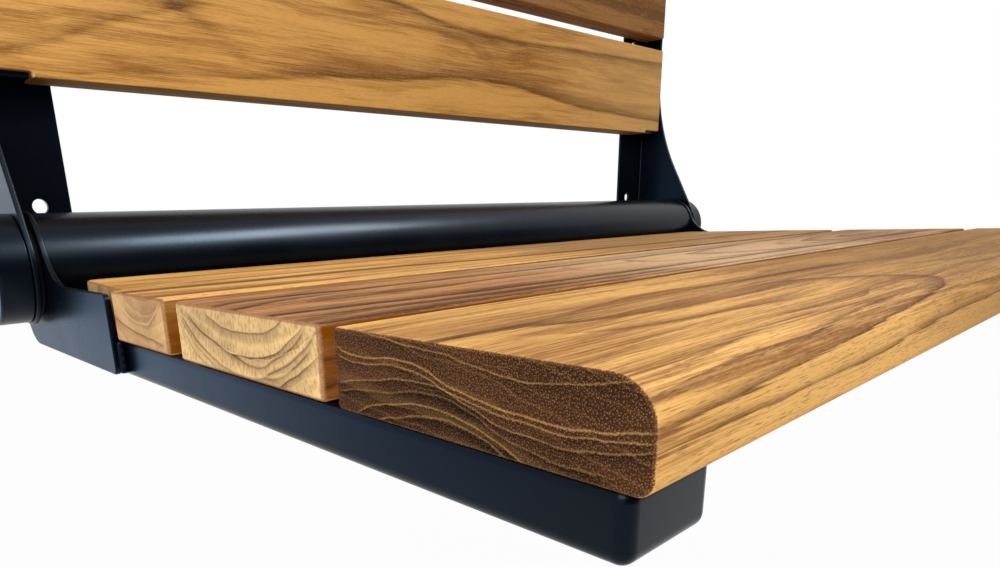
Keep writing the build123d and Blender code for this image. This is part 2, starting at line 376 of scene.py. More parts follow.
@dataclass(frozen=True)
class GrowthRings:
    """Shader group of growth rings round a leaning pith: late and early wood, a tone per ring, and rays.

    Sizes are in mm. A ring runs from 0, where its early wood starts, to 1, where its late wood ends.
    """

    slow_bend: Streaks = Streaks(240.0, 34.0, 1.5, roughness=0.5)
    short_bend: Streaks = Streaks(75.0, 9.0, 1.0, roughness=0.5)
    fringe: Streaks = Streaks(16.0, 0.9, 2.0, roughness=0.5)
    slow_share: float = 2.2
    short_share: float = 0.8
    fringe_share: float = 0.5
    uneven_scale: float = 0.6
    uneven_share: float = 2.2
    early_rise: Levels = (0.0, 0.03)
    early_fall: Levels = (0.03, 0.24)
    late_rise: Levels = (0.45, 0.9)
    late_fall: Levels = (0.92, 1.0)
    rays_around: float = 85.0
    rays_outwards: float = 0.30
    rays_along: float = 0.05
    ray_levels: Levels = (0.44, 0.66)
    ray_roughness: float = 0.6

    def group(self) -> bpy.types.NodeTree:
        """Make the node group.

        Returns:
            The node group.
        """
        names = {"Place": None, "Pith Across": 0.0, "Pith Depth": -100.0, "Lean": 0.0, "Ring Gap": 5.0,
                 "Wander": 3.0, "Lift": 0.0, "Seed": 0.0}
        w, given = new_group("growth_rings", names, ("Late", "Early", "Tone", "Part", "Ray"))
        place, seed = given["Place"], given["Seed"]
        along, across, depth = w.split(place)
        slow, short, fringe = (bend.draw(w, place, seed).swing()
                               for bend in (self.slow_bend, self.short_bend, self.fringe))
        side = across - given["Pith Across"]
        reach = depth - given["Pith Depth"] - given["Lean"] * along
        radius = w.math("SQRT", side * side + reach * reach)
        bends = slow * self.slow_share + short * self.short_share
        wandered = given["Wander"] * bends + fringe * self.fringe_share
        rough_phase = (radius + given["Lift"] + wandered) / given["Ring Gap"]
        uneven = w.place("TexNoise", {"W": rough_phase + seed, "Scale": self.uneven_scale, "Detail": 1.0},
                         noise_dimensions="1D")
        phase = rough_phase + w.signal(uneven) * self.uneven_share
        part = w.math("FRACT", phase)
        ring = w.math("FLOOR", phase) + seed
        tone = w.signal(w.place("TexWhiteNoise", {"W": ring}, noise_dimensions="1D"))
        late = w.ramp(part, *self.late_rise) * w.fall(part, *self.late_fall)
        early = w.fall(part, *self.early_fall) * w.ramp(part, *self.early_rise)
        turn = w.math("ARCTAN2", side, reach) * self.rays_around
        spokes = w.place("CombineXYZ", {0: turn, 1: radius * self.rays_outwards, 2: along * self.rays_along})
        ray = w.ramp(w.noise(w.signal(spokes), roughness=self.ray_roughness), *self.ray_levels)
        return close_group(w, {"Late": late, "Early": early, "Tone": tone, "Part": part, "Ray": ray})


@dataclass(frozen=True)
class WoodFibres:
    """Shader group of fibres, stripes, clouds, and open vessels as dashes or as dots on end grain. In mm."""

    fibre: Streaks = Streaks(34.0, 0.6, 4.0)
    stripe: Streaks = Streaks(110.0, 2.4, 3.0, 0.34, 0.66, 5.0)
    band: Streaks = Streaks(190.0, 8.0, 2.0, 0.36, 0.64, 25.0)
    flow: Streaks = Streaks(340.0, 15.0, 3.0, 0.38, 0.62, 31.0)
    cloud: Streaks = Streaks(150.0, 24.0, 2.0, shift=9.0)
    vessel: Streaks = Streaks(5.5, 0.36, 1.0, 0.56, 0.7, 13.0)
    glint: Streaks = Streaks(4.0, 0.34, 1.0, 0.56, 0.72, 17.0)
    stripe_patch: Streaks = Streaks(150.0, 34.0, 1.0, 0.36, 0.64, 47.0)
    stripe_dimming: float = 0.65
    bend: Streaks = Streaks(130.0, 36.0, 1.5, shift=41.0, roughness=0.5)
    bend_reach: float = 22.0
    pore_gap: float = 0.56
    pore_levels: Levels = (0.06, 0.40)
    pore_dimming: float = 0.8

    def group(self) -> bpy.types.NodeTree:
        """Make the node group.

        Returns:
            The node group.
        """
        outputs = ("Fibre", "Stripe", "Band", "Flow", "Cloud", "Vessel", "Glint", "Dot")
        w, given = new_group("wood_fibre", {"Place": None, "Seed": 0.0}, outputs)
        place, seed = given["Place"], given["Seed"]
        _, across, depth = w.split(place)
        sway = self.bend.draw(w, place, seed).swing() * self.bend_reach
        sideways = w.signal(w.place("CombineXYZ", {1: sway, 2: sway}))
        bent = w.signal(w.place("VectorMath", {0: place, 1: sideways}))
        drawn = {name: streaks.contrast(w, spot, seed) for name, streaks, spot in (
            ("Fibre", self.fibre, place), ("Stripe", self.stripe, bent), ("Band", self.band, bent),
            ("Flow", self.flow, bent), ("Cloud", self.cloud, place), ("Vessel", self.vessel, place),
            ("Glint", self.glint, place))}
        patch = self.stripe_patch.contrast(w, place, seed)
        drawn["Stripe"] = drawn["Stripe"].swing() * patch.dimming(self.stripe_dimming) + MIDDLE
        end_place = w.place("CombineXYZ", {0: across / self.pore_gap, 1: depth / self.pore_gap})
        cells = w.place("TexVoronoi", {"Vector": w.signal(end_place), "Scale": 1.0}, voronoi_dimensions="2D")
        bright, _, _ = w.split(cells.outputs["Color"])
        pore = w.fall(w.signal(cells, "Distance"), *self.pore_levels)
        drawn["Dot"] = pore * bright.dimming(self.pore_dimming)
        return close_group(w, drawn)


@dataclass(frozen=True)
class FineGrit:
    """Shader group for moulded and coated surfaces: a fine pebbled grit and slow clouds. Sizes in mm."""

    grain: float = 0.8
    patch: float = 60.0
    grit_roughness: float = 0.55

    def group(self) -> bpy.types.NodeTree:
        """Make the node group.

        Returns:
            The node group.
        """
        names = {"Place": None, "Grain": self.grain, "Patch": self.patch}
        w, given = new_group("fine_grit", names, ("Grit", "Cloud"))

        def at(size: Signal) -> Signal:
            """Place in mm, measured in units of one size."""
            feeds = {0: given["Place"], "Scale": PER_METRE / size}
            return w.signal(w.place("VectorMath", feeds, operation="SCALE"))

        grit = w.noise(at(given["Grain"]), roughness=self.grit_roughness)
        return close_group(w, {"Grit": grit, "Cloud": w.noise(at(given["Patch"]))})


@dataclass(frozen=True)
class GrainEye:
    """An oval in the figure, where the ring surfaces bulge towards the show face. Sizes in mm."""

    along: float
    across: float
    length: float
    width: float
    height: float

    def lift(self, w: Wiring, place: Feed) -> Signal:
        """Height that the bulge gives the rings.

        Args:
            w: Wiring of the material.
            place: Place on the board in mm.

        Returns:
            The height in mm.
        """
        along, across, _ = w.split(place)
        far = (along - self.along) / self.length
        wide = (across - self.across) / self.width
        return w.fade_out(far * far + wide * wide) * self.height


def distance_from_path(w: Wiring, run: Signal, rise: Signal, path: Path) -> Signal:
    """How far a place lies above a path drawn through points.

    Args:
        w: Wiring of the material.
        run: The coordinate that runs along the path, in mm.
        rise: The coordinate across the path, in mm.
        path: Points as (run, rise) in mm, in order of run.

    Returns:
        The distance in mm, negative below the path.
    """
    start, end = path[0][0], path[-1][0]
    spare = 1.0
    low = min(point[1] for point in path) - spare
    high = max(point[1] for point in path) + spare
    curve = w.place("FloatCurve", {"Value": (run - start) / (end - start)})
    knots = [((x - start) / (end - start), (y - low) / (high - low)) for x, y in path]
    line = curve.mapping.curves[0]
    line.points[0].location, line.points[-1].location = knots[0], knots[-1]
    for knot in knots[1:-1]:
        line.points.new(*knot)
    curve.mapping.update()
    return rise - (w.signal(curve) * (high - low) + low)


def between_ends(w: Wiring, run: Signal, path: Path, taper: float) -> Signal:
    """Whether a place lies between the two ends of a path.

    Args:
        w: Wiring of the material.
        run: The coordinate that runs along the path, in mm.
        path: Points as (run, rise) in mm, in order of run.
        taper: How far the change reaches to each side of an end, in mm.

    Returns:
        1 between the ends and 0 beyond them.
    """
    start, end = path[0][0], path[-1][0]
    return w.ramp(run, start - taper, start + taper) * w.fall(run, end - taper, end + taper)


@dataclass(frozen=True)
class GrainLine:
    """A dark line in the figure through points in mm: crisp on one side, fading out on the other.

    Points are (along, girth), where girth runs across the show face and on down the front, or (girth, along)
    for a line that crosses the board.
    """

    path: Path
    crisp: float
    fade: float
    strength: float
    crosswise: bool = False
    taper: float = 32.0

    def mask(self, w: Wiring, place: Feed, waver: Signal) -> Signal:
        """Darkness of the line. It fades towards higher values, or lower ones where fade is negative.

        Args:
            w: Wiring of the material.
            place: Place on the board in mm.
            waver: Small offset across the line in mm.

        Returns:
            Darkness from 0 to the line's strength.
        """
        along, across, depth = w.split(place)
        girth = across + depth
        run, rise = (girth, along) if self.crosswise else (along, girth)
        off = (distance_from_path(w, run, rise, self.path) + waver) * math.copysign(1.0, self.fade)
        soft = w.math("MAXIMUM", off, 0.0) / abs(self.fade)
        hard = w.math("MINIMUM", off, 0.0) / self.crisp
        ends = between_ends(w, run, self.path, self.taper)
        return w.fade_out(soft + hard * hard) * ends * self.strength


@dataclass(frozen=True)
class EndLine:
    """A growth ring on the end grain through (across, depth) points in mm: a pale line over a dark one.

    The dark line can fade out slowly on its outer side, over a shade given in mm.
    """

    path: Path
    width: float
    pale: float
    dark: float
    shade: float = 0.0
    shade_strength: float = 0.75
    shade_start: Levels = (-0.6, 0.2)
    dark_offset: float = 2.2
    dark_narrowing: float = 0.6
    taper: float = 3.0

    def masks(self, w: Wiring, place: Feed, waver: Signal) -> tuple[Signal, Signal]:
        """Paleness and darkness that the ring gives.

        Args:
            w: Wiring of the material.
            place: Place on the board in mm.
            waver: Small offset across the ring in mm.

        Returns:
            The strength of the pale line and of the dark one below it.
        """
        _, across, depth = w.split(place)
        off = (distance_from_path(w, across, depth, self.path) + waver) / self.width
        under = (off + self.dark_offset) * self.dark_narrowing
        ends = between_ends(w, across, self.path, self.taper)
        pale = w.fade_out(off * off) * ends * self.pale
        dark = w.fade_out(under * under)
        if self.shade:
            beyond = w.math("MAXIMUM", under * -1.0, 0.0) * (self.width / self.dark_narrowing / self.shade)
            soft = w.fade_out(beyond) * w.fall(under, *self.shade_start) * self.shade_strength
            dark = w.math("MAXIMUM", dark, soft)
        return pale, dark * ends * self.dark


@dataclass(frozen=True)
class Figure:
    """What the two wood groups draw on one board."""

    fibre: Signal
    stripe: Signal
    band: Signal
    flow: Signal
    cloud: Signal
    vessel: Signal
    glint: Signal
    dot: Signal
    late: Signal
    early: Signal
    tone: Signal
    part: Signal
    ray: Signal


@dataclass(frozen=True)
class TeakMix:
    """How much each part of the figure counts on every board, and which faces count as ends or sides."""

    part: float = 0.3
    tone: float = 0.3
    fibre: float = 0.7
    cloud: float = 0.4
    ground: float = 0.05
    drawn: float = 0.8
    glint: float = 0.25
    waver_fibre: float = 0.8
    waver_stripe: float = 1.2
    bold_tones: Levels = (0.3, 0.95)
    line_dimming: float = 0.4
    # Streaking of the lengthwise tone and painted sheen.
    drift_ground: float = 0.8
    drift_stripe: float = 0.3
    drift_band: float = -0.1
    # Faces that look down take painted shade.
    under_shade_facing: Levels = (0.3, 0.9)
    # Faces that look along Y, into the gaps between boards, take painted shade.
    side_facing: Levels = (0.80, 0.98)
    side_dimming: float = 0.3
    side_shade_break: float = 0.6
    rim_start: Levels = (0.10, 0.45)
    rim_stop: Levels = (0.90, 0.998)
    rim_dimming: float = 0.35
    end_facing: Levels = (0.35, 0.75)
    end_raggedness: float = 0.35
    end_waver_fibre: float = 0.3
    end_waver_cloud: float = 1.2
    end_cloud: float = 0.35
    end_tone: float = 0.3
    end_pale_ground: float = 0.5
    end_pale_fibre: float = 0.4
    pore_ground: float = 0.65
    pore_pale: float = 0.7
    pore_dark: float = -0.4
    relief: float = 0.2
    relief_strength: float = 0.4
    fibre_relief: float = 0.3
    pit_relief: float = -0.6
    early_relief: float = -0.15
    roughness: float = 0.60
    fibre_roughness: float = 0.12
    pit_roughness: float = 0.12
    end_roughness: float = 0.15
    specular: float = 0.03


@dataclass(frozen=True)
class TeakFinish:
    """Oiled teak of one board: where it was cut from the log, and its colours. Sizes in mm."""

    name: str
    middle: tuple[float, float, float]
    face: Face = Face.UP
    pith_across: float = 0.0
    pith_depth: float = -100.0
    lean: float = 0.0
    ring_gap: float = 5.0
    wander: float = 3.0
    seed: float = 0.0
    light: Colour = (0.68, 0.37, 0.115)
    brown: Colour = (0.30, 0.130, 0.040)
    line: Colour = (0.105, 0.043, 0.017)
    glint: Colour = (0.74, 0.46, 0.19)
    late_strength: float = 0.7
    vessel_strength: float = 0.45
    stripe_strength: float = 0.8
    band_strength: float = 0.7
    flow_strength: float = 0.5
    # The side colour is painted shade: the deep orange that shade and light bounced between boards give the
    # faces inside the narrow gaps.
    gap_side_shade: float = 0.0
    side: Colour = (0.22, 0.064, 0.0015)
    rim: Colour = (0.25, 0.105, 0.055)
    rim_strength: float = 0.0
    # The under colour is painted shade, blended onto faces that look down.
    under: Colour = (0.060, 0.030, 0.004)
    under_shade_strength: float = 0.0
    # A second colour blended in along the board by (along, share) points: a lengthwise change of tone, and on
    # the middle board a painted sheen.
    tone_and_sheen_colour: Colour = (0.60, 0.36, 0.19)
    tone_and_sheen_path: Path = ()
    end_ground: Colour = (0.72, 0.47, 0.21)
    end_line: Colour = (0.25, 0.13, 0.055)
    end_early: Colour = (0.70, 0.48, 0.22)
    end_dot: Colour = (0.40, 0.24, 0.10)
    end_line_strength: float = 0.8
    end_early_strength: float = 0.2
    end_dot_strength: float = 0.25
    end_ray_strength: float = 0.0
    eyes: tuple[GrainEye, ...] = ()
    lines: tuple[GrainLine, ...] = ()
    end_lines: tuple[EndLine, ...] = ()
    mix: TeakMix = TeakMix()

    def face_colour(self, w: Wiring, place: Signal, figure: Figure, drawn: Signal | float) -> Signal:
        """Colour along the grain.

        Args:
            w: Wiring of the material.
            place: Place on the board in mm.
            figure: What the wood groups draw.
            drawn: Darkness of the drawn lines.

        Returns:
            The colour.
        """
        mix = self.mix
        shade = figure.part * mix.part + figure.tone * mix.tone + mix.ground
        for streaks, strength in (
                (figure.stripe, self.stripe_strength), (figure.fibre, mix.fibre),
                (figure.band, self.band_strength), (figure.flow, self.flow_strength),
                (figure.cloud, mix.cloud)):
            shade = shade + streaks.swing() * strength
        shade = w.math("ADD", shade, drawn * mix.drawn, clamp=True)
        colour = w.blend(shade, self.light, self.brown)
        # Lengthwise blend to a second colour: a change of tone, and on the middle board a painted sheen.
        if self.tone_and_sheen_path:
            along, _, _ = w.split(place)
            share = 0.0 - distance_from_path(w, along, along * 0.0, self.tone_and_sheen_path)
            streaked = mix.drift_ground + figure.stripe * mix.drift_stripe + figure.band * mix.drift_band
            colour = w.blend(share * streaked, colour, self.tone_and_sheen_colour)
        bold = figure.late * w.ramp(figure.tone, *mix.bold_tones)
        darkness = w.math("ADD", bold * self.late_strength, drawn * drawn, clamp=True)
        colour = w.blend(darkness * figure.fibre.dimming(mix.line_dimming), colour, self.line)
        colour = w.blend(figure.vessel * self.vessel_strength, colour, self.line)
        return w.blend(figure.glint * mix.glint, colour, self.glint)

    def end_colour(self, w: Wiring, place: Signal, figure: Figure) -> Signal:
        """Colour of the end grain.

        Args:
            w: Wiring of the material.
            place: Place on the board in mm.
            figure: What the wood groups draw.

        Returns:
            The colour.
        """
        mix = self.mix
        waver = figure.fibre.swing() * mix.end_waver_fibre + figure.cloud.swing() * mix.end_waver_cloud
        pairs = [line.masks(w, place, waver) for line in self.end_lines]
        early = figure.early * self.end_early_strength
        pale = w.math("ADD", early, sum(pair[0] for pair in pairs), clamp=True)
        late = figure.late * figure.tone * self.end_line_strength
        dark = w.math("ADD", late, sum(pair[1] for pair in pairs), clamp=True)
        clouded = figure.cloud * mix.end_cloud + figure.tone * mix.end_tone
        colour = w.blend(clouded, self.end_ground, self.end_line)
        colour = w.blend(figure.ray * self.end_ray_strength, colour, self.end_line)
        colour = w.blend(dark, colour, self.end_line)
        pale_share = pale * (mix.end_pale_ground + figure.fibre * mix.end_pale_fibre)
        colour = w.blend(pale_share, colour, self.end_early)
        pore_share = mix.pore_ground + pale * mix.pore_pale + dark * mix.pore_dark
        pores = w.math("MULTIPLY", figure.dot, pore_share, clamp=True)
        return w.blend(pores * self.end_dot_strength, colour, self.end_dot)

    def material(self, rings: bpy.types.NodeTree, fibres: bpy.types.NodeTree) -> bpy.types.Material:
        """Make the board's material.

        Args:
            rings: The growth ring group.
            fibres: The wood fibre group.

        Returns:
            The material.
        """
        mix = self.mix
        made, w = new_material(self.name)
        coordinates = w.place("TexCoord")
        turn = -math.pi / 2 if self.face is Face.FRONT else 0.0
        origin = Matrix.Rotation(turn, 3, "X") @ Vector(self.middle)
        place = w.signal(w.place("Mapping", {
            "Vector": coordinates.outputs["Object"], "Location": tuple(-origin),
            "Rotation": (turn, 0.0, 0.0), "Scale": (PER_METRE,) * 3}))
        grain = w.place("Group", {"Place": place, "Seed": self.seed}, node_tree=fibres)
        settings = {"Place": place, "Pith Across": self.pith_across, "Pith Depth": self.pith_depth,
                    "Lean": self.lean, "Ring Gap": self.ring_gap, "Wander": self.wander, "Seed": self.seed}
        if self.eyes:
            settings["Lift"] = sum(eye.lift(w, place) for eye in self.eyes)
        log = w.place("Group", settings, node_tree=rings)
        figure = Figure(
            *w.signals(grain, "Fibre", "Stripe", "Band", "Flow", "Cloud", "Vessel", "Glint", "Dot"),
            *w.signals(log, "Late", "Early", "Tone", "Part", "Ray"))
        waver = figure.fibre.swing() * mix.waver_fibre + figure.stripe.swing() * mix.waver_stripe
        drawn = sum(line.mask(w, place, waver) for line in self.lines)
        face = self.face_colour(w, place, figure, drawn)

        normal_x, normal_y, normal_z = w.split(coordinates.outputs["Normal"])
        # Painted shade on faces that look down.
        if self.under_shade_strength:
            under = w.ramp(normal_z * -1.0, *mix.under_shade_facing) * self.under_shade_strength
            face = w.blend(under, face, self.under)
        # Painted shade in the gaps between boards on faces that look along Y, broken by the drawn lines and
        # bands.
        if self.gap_side_shade:
            bare = w.math("SUBTRACT", 1.0, drawn * mix.side_shade_break, clamp=True)
            bare = bare * figure.band.dimming(mix.side_dimming) * self.gap_side_shade
            gap_shade = w.ramp(w.math("ABSOLUTE", normal_y), *mix.side_facing) * bare
            face = w.blend(gap_shade, face, self.side)
        endwise = w.math("ABSOLUTE", normal_x)
        end = w.ramp(endwise + (figure.glint - figure.vessel) * mix.end_raggedness, *mix.end_facing)
        colour = w.blend(end, face, self.end_colour(w, place, figure))
        rim = w.ramp(endwise, *mix.rim_start) * w.fall(endwise, *mix.rim_stop)
        colour = w.blend(rim * figure.fibre.dimming(mix.rim_dimming) * self.rim_strength, colour, self.rim)

        pits = figure.vessel * (1.0 - end) + figure.dot * end
        height = figure.fibre * mix.fibre_relief + pits * mix.pit_relief + figure.early * mix.early_relief
        bump = w.place("Bump", {
            "Height": height, "Strength": mix.relief_strength, "Distance": mix.relief * MM})
        roughness = mix.roughness + figure.fibre.swing() * mix.fibre_roughness
        roughness = roughness + pits * mix.pit_roughness + end * mix.end_roughness
        shader = w.place("BsdfPrincipled", {
            "Base Color": colour, "Roughness": roughness, "Normal": w.signal(bump),
            "Specular IOR Level": mix.specular})
        w.place("OutputMaterial", {"Surface": shader.outputs[0]})
        return made


@dataclass(frozen=True)
class SurfaceFinish:
    """Coated, moulded or bare surface with a fine grit, for all pieces but the boards. Sizes in mm."""

    name: str
    colour: Colour
    cloudy: Colour
    smooth: float
    rough: float
    grain: float
    patch: float
    relief: float
    specular: float = 0.5
    tint: Colour = (1.0, 1.0, 1.0)
    metallic: float = 0.0
    grit_share: float = 0.4
    levels: Levels = (0.3, 0.7)
    relief_strength: float = 0.5

    def material(self, grit_group: bpy.types.NodeTree) -> bpy.types.Material:
        """Make the material.

        Args:
            grit_group: The fine grit group.

        Returns:
            The material.
        """
        made, w = new_material(self.name)
        place = w.place("TexCoord").outputs["Object"]
        group = w.place("Group", {"Place": place, "Grain": self.grain, "Patch": self.patch},
                        node_tree=grit_group)
        grit, cloud = w.signals(group, "Grit", "Cloud")
        clouded = w.ramp(cloud + grit.swing() * self.grit_share, *self.levels)
        worn = w.ramp(cloud * (1.0 - self.grit_share) + grit * self.grit_share, *self.levels)
        roughness = self.smooth + (self.rough - self.smooth) * worn
        bump = w.place("Bump", {
            "Height": grit, "Strength": self.relief_strength, "Distance": self.relief * MM})
        shader = w.place("BsdfPrincipled", {
            "Base Color": w.blend(clouded, self.colour, self.cloudy), "Roughness": roughness,
            "Normal": w.signal(bump), "Specular IOR Level": self.specular, "Specular Tint": self.tint,
            "Metallic": self.metallic})
        w.place("OutputMaterial", {"Surface": shader.outputs[0]})
        return made


@dataclass(frozen=True)
class Corner:
    """Corner of a flat outline in mm, with the radius that rounds it."""

    across: float
    up: float
    radius: float


def round_over(bm: bmesh.types.BMesh, geom: list, affect: str, radius: float, steps: int) -> None:
    """Round corners or edges of a mesh in progress.

    Args:
        bm: The mesh.
        geom: The corners or edges.
        affect: VERTICES for corners, EDGES for edges.
        radius: Radius in mm.
        steps: Number of facets of the rounding.
    """
    bmesh.ops.bevel(bm, geom=geom, offset=radius * MM, offset_type="OFFSET", affect=affect,
                    segments=steps, profile=0.5, material=-1, clamp_overlap=False)


@dataclass
class Board:
    """A teak board: a flat outline drawn out to a thickness, with all its rims rounded over. Sizes in mm."""

    node: str
    carrier: Carrier
    finish: TeakFinish
    outline: list[Corner]
    axis: Axis
    rim_radius: float
    corner_steps: int = 8
    rim_steps: int = 5
    flat_weight: int = 100

    def spot(self, corner: Corner, level: float) -> Vector:
        """Point of the outline at a level of the drawing axis.

        Args:
            corner: Corner of the outline.
            level: Level along the axis in mm.

        Returns:
            The point in metres.
        """
        place = [corner.across, corner.up]
        place.insert(self.axis.value, level)
        return Vector(place) * MM

    def levels(self) -> tuple[float, float]:
        """Extent of the board along its drawing axis.

        Returns:
            The lowest and the highest level in mm.
        """
        low, high = (corner[self.axis.value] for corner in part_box(self.node))
        return low * PER_METRE, high * PER_METRE

    def build(self) -> bpy.types.Object:
        """Model the board.

        Returns:
            The board's object, riding on its body in place of its solid.
        """
        low, high = self.levels()
        bm = bmesh.new()
        starts = [bm.verts.new(self.spot(corner, low)) for corner in self.outline]
        bm.faces.new(starts)
        for start, corner in zip(starts, self.outline):
            round_over(bm, [start], "VERTICES", corner.radius, self.corner_steps)
        bm.faces.ensure_lookup_table()
        drawn = bmesh.ops.extrude_face_region(bm, geom=bm.faces[:])["geom"]
        raised = [part for part in drawn if isinstance(part, bmesh.types.BMVert)]
        bmesh.ops.translate(bm, vec=self.spot(Corner(0.0, 0.0, 0.0), high - low), verts=raised)
        bmesh.ops.recalc_face_normals(bm, faces=bm.faces[:])
        index = self.axis.value
        rims = [edge for edge in bm.edges
                if abs(edge.verts[0].co[index] - edge.verts[1].co[index]) < SAME_LEVEL]
        round_over(bm, rims, "EDGES", self.rim_radius, self.rim_steps)
        bmesh.ops.recalc_face_normals(bm, faces=bm.faces[:])
        board = new_object("teak_" + self.node, bm)
        weighted = board.modifiers.new("flat_faces_stay_flat", "WEIGHTED_NORMAL")
        weighted.weight = self.flat_weight
        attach(board, self.carrier.value)
        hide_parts(self.node)
        return board

    def dress(self, board: bpy.types.Object, rings: bpy.types.NodeTree, fibres: bpy.types.NodeTree) -> None:
        """Give the board its teak.

        Args:
            board: The board's object.
            rings: The growth ring group.
            fibres: The wood fibre group.
        """
        board.data.materials.append(self.finish.material(rings, fibres))


@dataclass
class TeakBoards:
    """The three boards of the seat and the two of the backrest. Sizes in mm, as in the solids."""

    seat_top: float = -136.3
    seat_bottom: float = -160.8
    back_front: float = -28.7
    lower_back_middle: float = 35.0
    upper_back_middle: float = 146.5
    edge: float = 1.6
    corner: float = 1.8
    end_edge: float = 1.0
    front_reach: float = 2.5
    nose_top: float = 10.5
    nose_bottom: float = 4.5
    notch_shoulder: float = -189.5
    notch_inner: float = 375.4
    notch_rear: float = 364.4
    notch_inner_radius: float = 2.0
    notch_rear_radius: float = 8.0
    ledge_end: float = 355.4
    ledge_height: float = 3.2
    ledge_radius: float = 2.4

    def plan(self, node: str) -> tuple[float, float, float, float]:
        """Ends of a node's box along X, then its front and rear along Y, in mm."""
        low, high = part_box(node)
        return low.x * PER_METRE, high.x * PER_METRE, low.y * PER_METRE, high.y * PER_METRE

    def front(self) -> Board:
        """Front board of the seat, with its bull nose. It comes nearer to the middle board than its solid.

        Returns:
            The board.
        """
        _, _, nose, solid_rear = self.plan("front_seat_slat")
        rear = solid_rear + self.front_reach
        outline = [
            Corner(nose, self.seat_bottom, self.nose_bottom), Corner(rear, self.seat_bottom, self.edge),
            Corner(rear, self.seat_top, self.edge), Corner(nose, self.seat_top, self.nose_top)]
        finish = TeakFinish(
            "teak_front_board", (0.0, (nose + solid_rear) / 2, self.seat_top), pith_across=60.0,
            pith_depth=-420.0, ring_gap=4.6, wander=3.2, seed=3.7,
            light=(0.84, 0.462, 0.142), brown=(0.33, 0.142, 0.043),
            late_strength=0.4, stripe_strength=0.55, band_strength=0.5, flow_strength=0.4,
            tone_and_sheen_colour=(0.30, 0.145, 0.034), rim_strength=0.2,
            tone_and_sheen_path=((-430, 0.0), (-250, 0.0), (-170, 0.35), (-90, 0.6), (60, 0.8), (430, 0.6)),
            end_ground=(0.056, 0.021, 0.010), end_line=(0.009, 0.004, 0.003), end_early=(0.44, 0.23, 0.075),
            end_dot=(0.42, 0.225, 0.080), end_line_strength=0.25, end_early_strength=0.12,
            end_dot_strength=0.85,
            end_lines=(
                EndLine(((-46, -1), (-25, -4.5), (-17, -5), (12, -2), (51, 1)), 0.2, 0.5, 0.5, 2.0),
                EndLine(((-50, -11), (-21, -13.5), (4, -10.5), (24, -5.5), (40, -7.5), (51, -5.5)),
                        0.25, 0.8, 0.3),
                EndLine(((-50, -13), (-21, -15), (4, -12), (24, -7.5), (40, -9.5), (51, -8)),
                        0.22, 0.6, 0.7, 1.5),
                EndLine(((-50, -14.5), (-22, -18), (-1, -14), (15, -10.5), (37, -14), (51, -16)),
                        0.22, 0.45, 0.9, 2.5),
                EndLine(((-40, -22), (-22, -21.5), (0, -15), (10, -13), (34, -16.5), (51, -18.5)),
                        0.25, 0.25, 1.0, 2.5),
                EndLine(((-24, -27), (-8, -20.5), (6, -17), (15, -16.5), (33, -20), (43, -24)),
                        0.22, 0.6, 1.0, 3.0),
                EndLine(((-14, -25), (0, -20), (8, -19), (26, -22), (34, -25)), 0.3, 0.4, 1.0, 2.5)),
            eyes=(GrainEye(-198.0, -38.0, 18.0, 5.0, 9.0), GrainEye(90.0, 12.0, 120.0, 20.0, 10.0),
                  GrainEye(300.0, -20.0, 90.0, 18.0, 8.0)),
            lines=(
                GrainLine(((-430, 36), (-334, 39), (-180, 37)), 2.0, 5.0, 0.5),
                GrainLine(((-390, 11.5), (-347, 11), (-300, 18), (-258, 21), (-222, 16), (-110, 14)),
                          2.0, -7.0, 0.65),
                GrainLine(((-385, 11), (-361, 10), (-326, 0), (-267, -6), (-205, -4)), 1.6, 7.0, 0.75),
                GrainLine(((-350, -8), (-328, -16.5), (-281, -21), (-245, -25)), 1.4, 4.0, 0.75),
                GrainLine(((-385, -40), (-365, -44), (-305, -40.5), (-250, -44)), 1.0, 4.0, 0.6),
                GrainLine(((-380, -61), (-303, -58), (-234, -53.5), (-180, -49)), 0.8, 2.6, 0.95),
                GrainLine(((-310, -52), (-252, -46), (-203, -45.5)), 0.8, 2.6, 0.8),
                GrainLine(((-380, -65.5), (-264, -65), (-164, -62), (381, -60)), 0.5, 1.4, 0.8),
                GrainLine(((-205, 14), (-148, 14.5), (-107, 11), (-75, 3), (80, 0)), 3.0, 8.0, 0.6),
                GrainLine(((-105, -4.5), (-83, -16.5), (-43, -23.5), (2, -28), (200, -30)), 3.0, 8.0, 0.6),
                GrainLine(((-50, -186), (-41, -161), (-34, -157), (-28, -158), (-8, -181), (2, -205)),
                          4.0, -14.0, 0.8, crosswise=True, taper=4.0)))
        return Board("front_seat_slat", Carrier.SEAT, finish, outline, Axis.X, self.end_edge)

